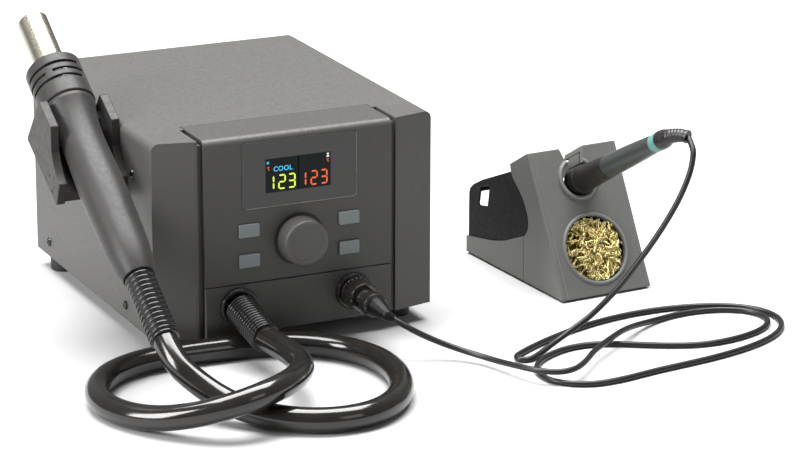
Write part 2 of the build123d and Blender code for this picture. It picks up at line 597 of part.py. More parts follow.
def bend_radii(points):
    """The largest arc that each corner's two runs allow."""
    radii = []
    for a, b, c in zip(points, points[1:], points[2:]):
        first, second = b - a, c - b
        turn = math.radians(first.get_angle(second))
        radii.append(0.45 * min(first.length, second.length) / math.tan(turn / 2))
    return radii


def cord_tube(name, points, radii, diameter):
    path = FilletPolyline(*points, radius=radii)
    section = Plane(origin=points[0], z_dir=points[1] - points[0]) * Circle(diameter / 2)
    solid = sweep(section, path=path)
    ideal = math.pi * diameter ** 2 / 4 * path.length
    print(name, "length", round(path.length, 1), "volume ratio", round(solid.volume / ideal, 4),
          "radii in diameters", [round(r / diameter, 1) for r in radii])
    keep(name, solid)


def cord_pair(lower_name, upper_name, lower, upper, diameter):
    """One cord as two tubes that meet end to end in the middle of a straight run."""
    lower = [Vector(*p) for p in lower]
    upper = [Vector(*p) for p in upper]
    radii = bend_radii(lower + upper)
    corners = len(lower) - 1
    joint = (lower[-1] + upper[0]) / 2
    cord_tube(lower_name, lower + [joint], radii[:corners], diameter)
    cord_tube(upper_name, [joint] + upper, radii[corners:], diameter)


def hose_and_cord():
    cord_pair("hose_floor", "hose_hang", HOSE_ROUTE, HOSE_RISE, HOSE_DIAMETER)
    cord_pair("iron_cord_floor", "iron_cord_hang", CORD_ROUTE, CORD_RISE, CORD_DIAMETER)


# ---- iron stand ----

def stand_frame():
    return Location((STAND_X, STAND_Y, 0), (0, 0, STAND_YAW))


def face_plane():
    """The stand's slanted front: X across, Y up the slope, Z out of the face, in the stand's own frame."""
    tilt = math.radians(FACE_TILT)
    return Plane(origin=(0, 0, STAND_FOOT), x_dir=(1, 0, 0), z_dir=(0, -math.cos(tilt), math.sin(tilt)))


def face_point(x, slope, out=0.0):
    return face_plane().from_local_coords(Vector(x, slope, out))


def stand_profile():
    crest = face_point(0, FACE_LENGTH)
    with BuildSketch() as profile:
        with BuildLine():
            Line((0, STAND_FOOT), (crest.Y, crest.Z))
            Line((crest.Y, crest.Z), (68.9, 77.7))
            Spline((68.9, 77.7), (64.8, 69), (55.6, 61.7), (47.6, 52), (44.4, 43), (49.5, 32.8))
            Line((49.5, 32.8), (49.5, STAND_FOOT))
            Line((49.5, STAND_FOOT), (0, STAND_FOOT))
        make_face()
    return profile.sketch


def stand_body():
    body = along_x(stand_profile(), 0, STAND_WIDTH)
    hollow = Polygon((2.6, 0), (48.8, 85.4), (90, 61.2), (90, 0), align=None)
    body -= along_x(hollow, 2.5, STAND_WIDTH - 2.5)
    face = face_plane()
    body += extrude(face * (Pos(*HOLDER) * Circle(14.8)), amount=1.2)
    body += extrude(face * (Pos(*WOOL) * Circle(24.3)), amount=0.7)
    body -= extrude(face.offset(-8) * (Pos(*HOLDER) * Circle(HOLDER_RADIUS)), amount=12)
    body -= extrude(face.offset(-4) * (Pos(*WOOL) * Circle(WOOL_RADIUS)), amount=8)
    notch = Polygon((22.6, 108), (28.2, 89), (39.8, 89), (45, 108), align=None)
    body -= extrude(face.offset(-42) * notch, amount=46)
    keep("stand_body", stand_frame() * body)

    trough = extrude(face.offset(-44) * (Pos(*HOLDER) * Circle(HOLDER_RADIUS + 1.6)), amount=41)
    walls = Polygon((21.2, 110), (26.4, 84), (41.6, 84), (46.6, 110), align=None)
    trough += extrude(face.offset(-44) * walls, amount=41)
    trough -= extrude(face.offset(-45) * (Pos(*HOLDER) * Circle(HOLDER_RADIUS)), amount=50)
    trough -= extrude(face.offset(-45) * notch, amount=50)
    cover = Polygon((20, 20), (49.6, 84.6), (62, 77.3), (62, 20), align=None)
    trough &= along_x(cover, 0, STAND_WIDTH)
    lip = Pos(*HOLDER) * Circle(HOLDER_RADIUS + 0.4) - Pos(*AXIS_POINT) * Circle(6.8)
    trough += extrude(face.offset(-20) * lip, amount=1.6)
    keep("holder_trough", stand_frame() * trough)


def stand_base():
    with BuildSketch() as profile:
        with BuildLine():
            Line((50, STAND_FOOT), (50, 32.6))
            Spline((50, 32.6), (65, 26.5), (80.5, 20.8), (100, 16.4), (125, 12.5))
            Line((125, 12.5), (125, STAND_FOOT))
            Line((125, STAND_FOOT), (50, STAND_FOOT))
        make_face()
    base = along_x(profile.sketch, 0, STAND_WIDTH)
    base -= block((1, STAND_WIDTH - 1), (45, 124), (STAND_FOOT + 2.5, 60))
    keep("stand_base", stand_frame() * base)


def stand_cage():
    side = Polygon((46, 4.4), (46, 44), (62, 76), (69, 72.4), (106, 57), (118, 50.8), (122.4, 47), (123.8, 43.4),
                   (123.8, 4.4), align=None)
    inner = Polygon((30, 0), (30, 92), (63, 92), (63, 74.9), (68.6, 71.3), (105.6, 55.9), (117.3, 49.9), (121.4, 46.3),
                    (122.6, 43.2), (140, 43.2), (140, 0), align=None)
    cage = along_x(side, 1.1, STAND_WIDTH - 1.1) - along_x(inner, 2.2, STAND_WIDTH - 2.2)
    cage -= along_x(stand_profile(), 0, STAND_WIDTH)
    window = Polygon((99, 40), (96.5, 56.2), (108.6, 50.8), (111.2, 37.6), align=None)
    window = fillet(window.vertices(), 1.5)
    cage -= along_x(window, 0, STAND_WIDTH)
    keep("stand_cage", stand_frame() * cage)


def wool_tray():
    outer = Polygon((6.6, 4.2), (29.9, 46.6), (42, 46.6), (42, 4.2), align=None)
    inner = Polygon((0, 5.4), (22, 45.4), (40.8, 45.4), (40.8, 5.4), align=None)
    tray = along_x(outer, 8.5, 59.5) - along_x(inner, 9.7, 58.3)
    keep("wool_cup", stand_frame() * tray)
    core = along_x(Polygon((9.3, 6.2), (30.2, 44.4), (40, 44.4), (40, 6.2), align=None), 12, 56)
    front = extrude(face_plane().offset(-12) * (Pos(*WOOL) * Circle(WOOL_RADIUS - 0.7)), amount=11.5)
    front -= block((0, 100), (-20, 60), (-20, 5.8))
    keep("brass_wool", stand_frame() * (core + front))


# ---- iron ----

def iron_frame():
    """The iron's own axis: the point where it crosses the face's plane, and the way out of the holder."""
    start = stand_frame() * Pos(*face_point(*AXIS_POINT))
    ahead = stand_frame() * Pos(*face_point(*AXIS_POINT, 10))
    return start.position, (ahead.position - start.position).normalized()


def iron():
    origin, out = iron_frame()
    print("iron axis", [round(v, 4) for v in origin], [round(v, 4) for v in out])
    shank = [(-92, 0), (-92, 0.5), (-76, 2.6), (-66, 2.6), (-66, 0)]
    keep("iron_tip", turned(shank, origin, out))
    barrel = [(-66, 0), (-66, 3.3), (-22, 3.3), (-22, 4.6), (-12, 4.6), (-12, 0)]
    keep("iron_barrel", turned(barrel, origin, out))
    collar = [(-12, 0), (-12, 5.4), (-5, 7), (-5, 9.2), (-4.5, 9.6), (5, 9.6), (6.5, 9.0), (24, 8.2), (41, 7.7), (41, 0)]
    keep("iron_collar", turned(collar, origin, out))
    with BuildSketch() as half:
        with BuildLine():
            Line((0, 41), (7.6, 41))
            Spline((7.6, 41), (7.4, 57), (6.9, 76), (5.9, 100.4))
            Line((5.9, 100.4), (0, 100.4))
            Line((0, 100.4), (0, 41))
        make_face()
    keep("iron_handle", Plane(origin=origin, z_dir=out).location * revolve(Plane.XZ * half.sketch, Axis.Z))
    keep("iron_ring", turned([(100.4, 0), (100.4, 5.9), (100.8, 6.1), (108, 6.1), (108.4, 5.9), (108.4, 0)], origin, out))
    bulge = turned([(108.4, 0), (108.4, 6.4), (112.4, 6.2), (117, 4.9), (117, 0)], origin, out)
    route = [origin + out * 116, origin + out * 118, Vector(229.2, -182.2, 126.9), Vector(231.6, -186.4, 127.9)]
    end = Vector(*CORD_RISE[-1])
    relief = bulge
    sizes = [4.9, 4.7, 4.3, 3.9]
    for start, stop, radius in zip(route, route[1:] + [end], sizes):
        relief += rod(start, stop, radius)
        if stop is not end:
            relief += Pos(*stop) * Sphere(radius)
    keep("iron_relief", relief)


def case_screws():
    screws = [pan_head(-HALF, y, z, (-1, 0, 0)) for y, z in SIDE_SCREWS]
    screws += [pan_head(HALF, y, z, (1, 0, 0)) for y, z in SIDE_SCREWS]
    screws += [pan_head(x, REAR, z, (0, 1, 0)) for x, z in REAR_SCREWS]
    screws += [pan_head(-HALF - PLATE, y, z, (-1, 0, 0), 9) for y, z in CRADLE_SCREWS]
    x, z = INLET_CENTRE
    screws += [pan_head(x + side * 20, REAR + 2, z + 8, (0, 1, 0), 1.5) for side in (-1, 1)]
    keep("case_screws", *screws)


def rubber_feet():
    foot = [(0, 0), (0, 8.4), (1, 9), (CASE_BOTTOM, 9), (CASE_BOTTOM, 0)]
    feet = [turned(foot, (x, y, 0), (0, 0, 1)) for x, y in FOOT_SPOTS]
    feet += [stand_frame() * rod((x, y, 0), (x, y, STAND_FOOT), 4.5) for x, y in STAND_FOOT_SPOTS]
    keep("rubber_feet", *feet)


top_cover()
base_tray()
rear_panel()
front_bezel()
control_panel()
connector_panel()
display()
buttons()
knob()
power_electronics()
blower()
mains_inlet()
hose_port()
iron_connection()
cradle()
handpiece()
hose_and_cord()
stand_body()
stand_base()
stand_cage()
wool_tray()
iron()
case_screws()
rubber_feet()

for name, shapes in parts.items():
    shape = shapes[0] if len(shapes) == 1 else Compound(children=shapes)
    export_step(shape, f"parts/{name}.step")
print(len(parts), "nodes")
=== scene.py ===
import json
import math
import random

import bpy
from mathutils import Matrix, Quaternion, Vector


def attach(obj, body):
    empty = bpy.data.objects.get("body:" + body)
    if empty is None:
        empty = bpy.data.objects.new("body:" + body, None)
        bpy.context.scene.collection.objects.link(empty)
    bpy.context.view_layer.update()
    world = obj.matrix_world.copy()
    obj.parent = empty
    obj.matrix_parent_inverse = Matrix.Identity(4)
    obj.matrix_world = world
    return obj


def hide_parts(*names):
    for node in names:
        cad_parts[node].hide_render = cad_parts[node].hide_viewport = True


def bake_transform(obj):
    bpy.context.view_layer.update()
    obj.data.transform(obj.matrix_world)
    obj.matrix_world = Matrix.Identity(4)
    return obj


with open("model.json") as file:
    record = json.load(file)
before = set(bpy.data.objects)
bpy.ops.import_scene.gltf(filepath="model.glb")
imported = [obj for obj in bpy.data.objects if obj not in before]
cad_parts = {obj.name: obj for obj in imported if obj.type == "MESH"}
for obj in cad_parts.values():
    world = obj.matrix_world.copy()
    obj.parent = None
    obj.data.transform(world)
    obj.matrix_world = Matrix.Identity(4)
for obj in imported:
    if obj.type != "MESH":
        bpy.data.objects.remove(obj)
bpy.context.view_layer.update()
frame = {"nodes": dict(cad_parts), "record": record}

NODES = frame["nodes"]
SCENE = bpy.context.scene
MM = 0.001


def mm(*values):
    return Vector([v * MM for v in values])


# ---- camera, fitted to the photograph ----

LENS, SENSOR = 153.4, 36.0
AZIMUTH, ELEVATION, ROLL = (math.radians(a) for a in (-25.283, 17.427, 0.17))
CAMERA_AIM = mm(74.64, -102.25, 60.0)
CAMERA_DISTANCE = 2.1762


def make_camera():
    data = bpy.data.cameras.new("camera")
    data.lens = LENS
    data.sensor_width = SENSOR
    data.clip_start = 0.05
    data.clip_end = 60.0
    camera = bpy.data.objects.new("camera", data)
    SCENE.collection.objects.link(camera)
    back = Vector((math.sin(AZIMUTH) * math.cos(ELEVATION), -math.cos(AZIMUTH) * math.cos(ELEVATION),
                   math.sin(ELEVATION)))
    camera.location = CAMERA_AIM + back * CAMERA_DISTANCE
    camera.rotation_mode = "QUATERNION"
    camera.rotation_quaternion = (-back).to_track_quat("-Z", "Y") @ Quaternion((0, 0, 1), ROLL)
    SCENE.camera = camera


make_camera()


# ---- mesh helpers ----

def new_object(name, data):
    made = bpy.data.objects.new(name, data)
    SCENE.collection.objects.link(made)
    return made


def mesh_object(name, verts, faces, smooth=True):
    """A mesh piece; a smooth one keeps its end caps flat and their rims sharp."""
    mesh = bpy.data.meshes.new(name)
    mesh.from_pydata([tuple(v) for v in verts], [], faces)
    mesh.validate()
    mesh.update()
    if smooth:
        rims = set()
        for polygon in mesh.polygons:
            polygon.use_smooth = len(polygon.vertices) == 4
            if not polygon.use_smooth:
                rims.update(polygon.edge_keys)
        for edge in mesh.edges:
            edge.use_edge_sharp = edge.key in rims
    mesh.update()
    return new_object(name, mesh)


def side_directions(line):
    """A direction across a line at each of its points, carried along it without twisting."""
    tangents = []
    for i in range(len(line)):
        ahead, behind = line[min(i + 1, len(line) - 1)], line[max(i - 1, 0)]
        tangents.append((ahead - behind).normalized())
    across = tangents[0].cross(Vector((0, 0, 1)))
    if across.length < 1e-3:
        across = tangents[0].cross(Vector((1, 0, 0)))
    across.normalize()
    sides = []
    for i, tangent in enumerate(tangents):
        if i:
            across = tangents[i - 1].rotation_difference(tangent) @ across
            across = (across - tangent * across.dot(tangent)).normalized()
        sides.append((tangent, across, tangent.cross(across).normalized()))
    return sides


def ring_faces(rings, sides):
    """The quads between rings of vertices, and a cap at each end."""
    faces = []
    for i in range(rings - 1):
        for k in range(sides):
            a, b = i * sides + k, i * sides + (k + 1) % sides
            faces.append((a, b, b + sides, a + sides))
    last = (rings - 1) * sides
    faces.append(tuple(reversed(range(sides))))
    faces.append(tuple(last + k for k in range(sides)))
    return faces


def tube(name, line, radii, sides, directions=None):
    """A closed tube along a line; radii is one radius or one for each point."""
    if not hasattr(radii, "__len__"):
        radii = [radii] * len(line)
    verts = []
    for point, (_, across, up), radius in zip(line, directions or side_directions(line), radii):
        for k in range(sides):
            angle = 2 * math.pi * k / sides
            verts.append(point + (across * math.cos(angle) + up * math.sin(angle)) * radius)
    return mesh_object(name, verts, ring_faces(len(line), sides))


def lathe(name, profile, origin, direction, segments=72):
    """A closed turned part; the profile is (distance along the axis, radius) in mm, from end to end."""
    turn = Vector(direction).normalized().to_track_quat("Z", "Y")
    verts = []
    for s, r in profile:
        for k in range(segments):
            angle = 2 * math.pi * k / segments
            local = Vector((r * math.cos(angle), r * math.sin(angle), s)) * MM
            verts.append(origin + turn @ local)
    return mesh_object(name, verts, ring_faces(len(profile), segments))


def spline_curve(name, points):
    """A curve of one NURBS spline with these points, in mm, as its control points."""
    curve = bpy.data.curves.new(name, "CURVE")
    curve.dimensions = "3D"
    spline = curve.splines.new("NURBS")
    spline.points.add(len(points) - 1)
    for target, point in zip(spline.points, points):
        target.co = (*mm(*point), 1.0)
    spline.order_u = 3
    spline.use_endpoint_u = True
    curve.resolution_u = 10
    return new_object(name, curve)


def spline_line(points):
    """The points along the smooth line of a route."""
    bare = spline_curve("bare_line", points)
    mesh = bpy.data.meshes.new_from_object(bare)
    line = [v.co.copy() for v in mesh.vertices]
    bpy.data.meshes.remove(mesh)
    curve = bare.data
    bpy.data.objects.remove(bare)
    bpy.data.curves.remove(curve)
    return line


def line_length(line):
    return sum((b - a).length for a, b in zip(line, line[1:]))


def cut_at(line, point):
    """The index of the line's point nearest to a point in mm."""
    target = mm(*point)
    return min(range(len(line)), key=lambda i: (line[i] - target).length)


# ---- hose and cord routes: the control points of the CAD tubes, in mm ----

HOSE_ROUTE = [
    (-39.5, -150, 21.2), (-36.5, -169, 20.4), (-36, -190, 20.5), (-41, -211, 22), (-52, -230, 24.5),
    (-67, -246, 26.5), (-86, -256, 26), (-106, -255, 21.5), (-124, -244, 15), (-141, -227, 9.5),
    (-154, -207, 7.75), (-160, -183, 7.75), (-154, -158, 7.75), (-139, -138, 7.75), (-117, -125.5, 7.75),
    (-91, -121, 7.75), (-64, -122, 7.75), (-36, -124.5, 7.75), (-9, -134, 7.75), (14, -154, 7.75),
    (25, -184, 7.75), (22, -218, 7.75), (6, -249, 7.75), (-19, -267, 7.75), (-47, -268, 7.75),
    (-70, -255, 7.75), (-87, -237, 9.5), (-99, -222, 14.5), (-109, -209, 22),
    (-117.8, -195.9, 31.85), (-117.8, -181.7, 41),
]
CORD_ROUTE = [
    (41.3, -163.8, 25.9), (47, -170, 22), (56, -173, 16.5), (66, -177.5, 11.5), (76, -184, 7.5),
    (85, -195, 5.5), (91, -210, 5.5), (95, -227, 7.5), (101, -242, 8.4), (111.5, -251, 8.4),
    (124, -250, 8.4), (136.5, -240, 8.4), (150, -225, 8.4), (167, -211.5, 8.4), (185, -198, 8.4),
    (203, -184, 5), (223, -173, 1.9), (244, -168, 1.9), (263, -169, 1.9), (277, -174, 1.9),
    (287, -182, 1.9), (291.5, -194, 1.9), (288, -206, 1.9), (278, -216, 1.9), (263, -223, 1.9),
    (245, -227, 1.9), (226, -227, 1.9), (207, -220, 1.9), (190, -210, 1.9), (175, -201, 1.9),
    (160, -196.5, 1.9), (144.5, -197.5, 1.9), (130, -204, 1.9), (118.5, -212, 1.9), (110.5, -223, 1.9),
    (107.5, -236, 1.9), (110, -248, 1.9), (119, -257.5, 1.9), (132, -263, 1.9), (152, -262, 1.9),
    (176, -257, 1.9), (201, -254, 1.9), (227, -250, 1.9), (253, -243, 1.9), (276, -232, 1.9),
    (292, -217, 1.9), (299, -199, 1.9), (295, -181, 1.9), (281, -167, 1.9), (260, -158.5, 1.9),
    (237, -155, 1.9), (213, -155.5, 1.9), (188, -160, 1.9), (164, -168, 1.9), (143, -177.5, 1.9),
    (127, -186, 1.9), (116.5, -192.5, 1.9), (109.5, -197.5, 1.9), (109, -204, 1.9), (115, -206.5, 1.9),
    (124, -201, 2.1), (135.5, -194, 4), (146, -189.3, 6.5),
    (156.5, -187.5, 11), (167.5, -187.5, 17), (177.5, -189, 26), (187, -191.5, 36.5), (195.5, -195, 49.5),
    (203, -199, 62), (210.5, -202.5, 75.5), (218, -204.5, 89), (223, -205.5, 100), (227.5, -204.5, 109.5),
    (230.5, -202, 117), (233, -198, 122.5), (233.5, -190, 127.5),
]
HOSE_DIAMETER, HOSE_SIDES = 15.5, 40
CORD_DIAMETER, CORD_SIDES = 3.8, 16
# where each is cut into the length that lies still on the station and the length that rises to what it is tied
# to
HOSE_CUT = (-19, -267, 7.75)
CORD_CUT = (151.25, -188.4, 8.75)


# ---- materials ----

def nodes_of(name):
    material = bpy.data.materials.new(name)
    material.use_nodes = True
    tree = material.node_tree
    return material, tree, tree.nodes["Principled BSDF"]


def shade(colour, share):
    return tuple(min(1.0, c * share) for c in colour) + (1.0,)


def noise_node(tree, scale, detail=3.0, stretch=None, seed=0.0):
    """Noise in the piece's own coordinates, in features per metre."""
    where = tree.nodes.new("ShaderNodeTexCoord")
    mapping = tree.nodes.new("ShaderNodeMapping")
    mapping.inputs["Location"].default_value = (seed, seed * 0.7, -seed)
    if stretch:
        mapping.inputs["Scale"].default_value = stretch
    noise = tree.nodes.new("ShaderNodeTexNoise")
    noise.inputs["Scale"].default_value = scale
    noise.inputs["Detail"].default_value = detail
    tree.links.new(where.outputs["Object"], mapping.inputs["Vector"])
    tree.links.new(mapping.outputs["Vector"], noise.inputs["Vector"])
    return noise


def ramp(tree, source, low, high):
    """A colour from low to high as a noise output goes through its middle range."""
    node = tree.nodes.new("ShaderNodeValToRGB")
    node.color_ramp.elements[0].position = 0.3
    node.color_ramp.elements[1].position = 0.7
    node.color_ramp.elements[0].color = low
    node.color_ramp.elements[1].color = high
    tree.links.new(source, node.inputs["Fac"])
    return node.outputs["Color"]


def grey(value):
    return (value, value, value, 1.0)


def bumped(tree, shader, layers, normal):
    """Bump layers over a normal output or None; a layer is (noise output, strength, distance in m)."""
    for source, strength, distance in layers:
        bump = tree.nodes.new("ShaderNodeBump")
        bump.inputs["Strength"].default_value = strength
        bump.inputs["Distance"].default_value = distance
        tree.links.new(source, bump.inputs["Height"])
        if normal is not None:
            tree.links.new(normal, bump.inputs["Normal"])
        normal = bump.outputs["Normal"]
    tree.links.new(normal, shader.inputs["Normal"])


EDGE_START, EDGE_FULL = 0.98, 0.72    # how far the rounded normal agrees with the face's own


def edge_highlight_mask(tree, radius):
    """White near sharp edges, where a rounded normal leaves the face's own, as the mask of a painted edge
    highlight, and that rounded normal.
    """
    bevel = tree.nodes.new("ShaderNodeBevel")
    bevel.samples = 6
    bevel.inputs["Radius"].default_value = radius
    geometry = tree.nodes.new("ShaderNodeNewGeometry")
    dot = tree.nodes.new("ShaderNodeVectorMath")
    dot.operation = "DOT_PRODUCT"
    tree.links.new(bevel.outputs["Normal"], dot.inputs[0])
    tree.links.new(geometry.outputs["Normal"], dot.inputs[1])
    reach = tree.nodes.new("ShaderNodeMapRange")
    reach.inputs["From Min"].default_value = EDGE_START
    reach.inputs["From Max"].default_value = EDGE_FULL
    tree.links.new(dot.outputs["Value"], reach.inputs["Value"])
    return reach.outputs["Result"], bevel.outputs["Normal"]


MIX_FACTOR, MIX_A, MIX_B, MIX_RESULT = 0, 6, 7, 2    # the Mix node's sockets for colours


def mixed(tree, factor, a, b):
    """A mix of two colours by a factor, each an output or a constant."""
    node = tree.nodes.new("ShaderNodeMix")
    node.data_type = "RGBA"
    for value, place in ((factor, MIX_FACTOR), (a, MIX_A), (b, MIX_B)):
        if isinstance(value, (tuple, float)):
            node.inputs[place].default_value = value
        else:
            tree.links.new(value, node.inputs[place])
    return node.outputs[MIX_RESULT]


MOTTLE_BUMP = (0.15, 0.0001)


def finish_of(name, colour, rough, rough_spread=0.06, grain=(2200, 0.25, 0.00012), mottle=(260, 0.06),
              broad=(18, 0.05), edge=(0.0008, 1.35), metallic=0.0, specular=0.5, coat=0.0, coat_rough=0.1,
              streak=None, sheen=0.0):
    """A moulded, painted, rubber or metal finish.

    grain is (features per metre, bump strength, bump distance in m), mottle and broad are (features per
    metre, share by which the colour varies), edge is (radius in m, brightness of the painted highlight
    along sharp edges) or None, and streak stretches the mottle into bands of painted reflection.
    """
    material, tree, shader = nodes_of(name)
    fine = noise_node(tree, grain[0], 2.0, seed=0.31)
    speck = noise_node(tree, mottle[0], 4.0, stretch=streak, seed=1.7)
    wide = noise_node(tree, broad[0], 3.0, seed=5.2)
    base = ramp(tree, speck.outputs["Fac"], shade(colour, 1 - mottle[1]), shade(colour, 1 + mottle[1]))
    slow = ramp(tree, wide.outputs["Fac"], shade(colour, 1 - broad[1]), shade(colour, 1 + broad[1]))
    base = mixed(tree, 0.5, base, slow)
    normal = None
    if edge:
        mask, normal = edge_highlight_mask(tree, edge[0])
        # painted highlight: the colour is brightened along sharp edges
        base = mixed(tree, mask, base, shade(colour, edge[1]))
    tree.links.new(base, shader.inputs["Base Color"])
    gloss = ramp(tree, speck.outputs["Fac"], grey(max(0.02, rough - rough_spread)),
                 grey(min(1, rough + rough_spread)))
    tree.links.new(gloss, shader.inputs["Roughness"])
    shader.inputs["Metallic"].default_value = metallic
    shader.inputs["Specular IOR Level"].default_value = specular
    shader.inputs["Coat Weight"].default_value = coat
    shader.inputs["Coat Roughness"].default_value = coat_rough
    if sheen:
        shader.inputs["Sheen Weight"].default_value = sheen
    bumped(tree, shader, [(fine.outputs["Fac"], grain[1], grain[2]), (speck.outputs["Fac"], *MOTTLE_BUMP)],
           normal)
    return material


# edge gives a finish a painted highlight, a brighter colour along its sharp edges
FINISHES = {
    "cover_paint": dict(colour=(0.066, 0.065, 0.0612), rough=0.52, grain=(1900, 0.35, 0.00015),
                        mottle=(420, 0.09), broad=(9, 0.05), edge=(0.0012, 1.25)),
    "bezel_plastic": dict(colour=(0.064, 0.0626, 0.0587), rough=0.5, grain=(2600, 0.25, 0.0001),
                          mottle=(600, 0.05), edge=(0.001, 1.3)),
    "panel_plastic": dict(colour=(0.048, 0.0466, 0.0437), rough=0.5, grain=(2600, 0.22, 0.0001),
                          mottle=(500, 0.05), edge=(0.0006, 1.35)),
    "window": dict(colour=(0.0355, 0.0342, 0.0325), rough=0.36, rough_spread=0.03, grain=(3000, 0.06, 0.00005),
                   mottle=(300, 0.03), edge=(0.0005, 2.6)),
    "lcd": dict(colour=(0.03, 0.035, 0.04), rough=0.3, edge=None),
    "circuit_board": dict(colour=(0.02, 0.12, 0.05), rough=0.35, mottle=(150, 0.2), edge=None, coat=0.3),
    "switch": dict(colour=(0.03, 0.03, 0.03), rough=0.5, edge=None),
    "shaft_metal": dict(colour=(0.5, 0.5, 0.48), rough=0.3, metallic=1.0, edge=None),
    "button_plastic": dict(colour=(0.166, 0.19, 0.19), rough=0.42, grain=(2600, 0.12, 0.00008),
                           mottle=(500, 0.04), edge=(0.0005, 1.15)),
    "knob_plastic": dict(colour=(0.066, 0.065, 0.06), rough=0.46, grain=(2600, 0.16, 0.00008),
                         mottle=(400, 0.05), edge=(0.0005, 1.4)),
    "laminations": dict(colour=(0.12, 0.11, 0.1), rough=0.5, mottle=(90, 0.2), edge=None),
    "blower_plastic": dict(colour=(0.035, 0.035, 0.038), rough=0.5, edge=None),
    "motor_can": dict(colour=(0.42, 0.42, 0.41), rough=0.35, metallic=1.0, edge=None),
    "inner_hose": dict(colour=(0.5, 0.49, 0.46), rough=0.4, edge=None),
    "inlet_plastic": dict(colour=(0.02, 0.02, 0.021), rough=0.42, edge=(0.0006, 2.2)),
    "rocker_plastic": dict(colour=(0.025, 0.025, 0.026), rough=0.22, grain=(2600, 0.05, 0.00005),
                           edge=(0.0005, 2.0)),
    "pin_metal": dict(colour=(0.6, 0.52, 0.36), rough=0.28, metallic=1.0, edge=(0.0004, 1.3)),
    "port_plastic": dict(colour=(0.012, 0.011, 0.011), rough=0.25, grain=(2600, 0.06, 0.00005),
                         edge=(0.0006, 3.0)),
    "relief_rubber": dict(colour=(0.01, 0.009, 0.009), rough=0.2, rough_spread=0.07,
                          grain=(1500, 0.08, 0.00005), mottle=(300, 0.15), edge=None),
    "hose_rubber": dict(colour=(0.012, 0.0105, 0.0095), rough=0.16, rough_spread=0.05,
                        grain=(900, 0.05, 0.00006), mottle=(120, 0.18), broad=(14, 0.15), edge=None, coat=0.35,
                        coat_rough=0.05, specular=0.4),
    "cord_rubber": dict(colour=(0.011, 0.0105, 0.01), rough=0.36, specular=0.35, grain=(2000, 0.12, 0.00006),
                        mottle=(300, 0.12), edge=None),
    "socket_plastic": dict(colour=(0.012, 0.01, 0.01), rough=0.22, edge=(0.0006, 3.0)),
    "plug_metal": dict(colour=(0.03, 0.027, 0.026), rough=0.17, metallic=0.5, coat=0.5,
                       grain=(2200, 0.05, 0.00004), mottle=(200, 0.15), edge=(0.0006, 4.0)),
    "boot_rubber": dict(colour=(0.004, 0.0037, 0.0035), rough=0.42, specular=0.2, grain=(1800, 0.08, 0.00005),
                        edge=None),
    "cradle_plastic": dict(colour=(0.024, 0.0215, 0.0203), rough=0.5, specular=0.35, grain=(1900, 0.25, 0.0001),
                           edge=(0.001, 1.5)),
    "grip_plastic": dict(colour=(0.024, 0.0227, 0.022), rough=0.46, specular=0.32, grain=(1800, 0.22, 0.0001),
                         mottle=(400, 0.08), edge=(0.0008, 1.4), sheen=0.05),
    "shield_metal": dict(colour=(0.62, 0.62, 0.6), rough=0.3, metallic=1.0, edge=None),
    # painted reflection: the mottle is stretched into the light and dark bands of a reflection along the tube
    "tube_metal": dict(colour=(0.4, 0.377, 0.315), rough=0.32, rough_spread=0.1, metallic=1.0,
                       grain=(900, 0.06, 0.00004), mottle=(180, 0.1), streak=(1.0, 12.0, 12.0),
                       broad=(30, 0.14), edge=(0.0005, 1.3)),
    "heater_ceramic": dict(colour=(0.72, 0.68, 0.6), rough=0.7, edge=None),
    "stand_paint": dict(colour=(0.118, 0.119, 0.114), rough=0.5, grain=(1900, 0.4, 0.00015), mottle=(450, 0.11),
                        edge=(0.001, 1.45)),
    "trough_plastic": dict(colour=(0.108, 0.109, 0.104), rough=0.5, edge=None),
    "cage_metal": dict(colour=(0.005, 0.004, 0.0037), rough=0.5, specular=0.12, grain=(1500, 0.2, 0.0001),
                       edge=(0.0006, 3.0)),
    "iron_steel": dict(colour=(0.5, 0.49, 0.47), rough=0.3, metallic=1.0, edge=None),
    "tip_plating": dict(colour=(0.42, 0.42, 0.42), rough=0.25, metallic=1.0, edge=None),
    "collar_plastic": dict(colour=(0.011, 0.0095, 0.009), rough=0.4, grain=(2000, 0.15, 0.00008),
                           edge=(0.0008, 2.0)),
    "handle_plastic": dict(colour=(0.032, 0.0375, 0.0353), rough=0.36, grain=(2200, 0.12, 0.00008),
                           mottle=(400, 0.05), edge=(0.0005, 1.4)),
    "ring_plastic": dict(colour=(0.095, 0.255, 0.215), rough=0.4, grain=(2200, 0.1, 0.00006),
                         edge=(0.0005, 1.3)),
    "iron_relief_rubber": dict(colour=(0.014, 0.012, 0.012), rough=0.38, grain=(1800, 0.12, 0.00006),
                               edge=None),
    "screw_metal": dict(colour=(0.05, 0.05, 0.05), rough=0.22, metallic=0.7, edge=(0.0003, 2.5)),
    "foot_rubber": dict(colour=(0.015, 0.015, 0.015), rough=0.6, edge=None),
}
LOOKS = {name: finish_of(name, **finish) for name, finish in FINISHES.items()}
# a lighter copy of the stand's paint: painted highlight on the raised rims and the fine face lines
RIM_HIGHLIGHT = finish_of("rim_highlight", (0.175, 0.176, 0.168), 0.42, grain=(1900, 0.25, 0.0001), mottle=(450, 0.08),
                      edge=None)
WOOL = finish_of("wool", (1.0, 0.80, 0.40), 0.15, rough_spread=0.06, metallic=1.0, grain=(4000, 0.05, 0.00003),
                 mottle=(500, 0.2), broad=(150, 0.15), edge=None)
# a dark brass for the bed under the ribbons: painted shade for the shadowed depths of the wool
WOOL_PAINTED_SHADE = finish_of("wool_painted_shade", (0.14, 0.085, 0.025), 0.5, metallic=0.6, mottle=(700, 0.5),
                       broad=(300, 0.4), edge=None)


def dress(piece, slot_name, material=None):
    """Give a new piece its finish: the given material, or else the one made for the record's slot of that name.
    """
    piece.data.materials.clear()
    piece.data.materials.append(material or LOOKS[slot_name])
    return piece


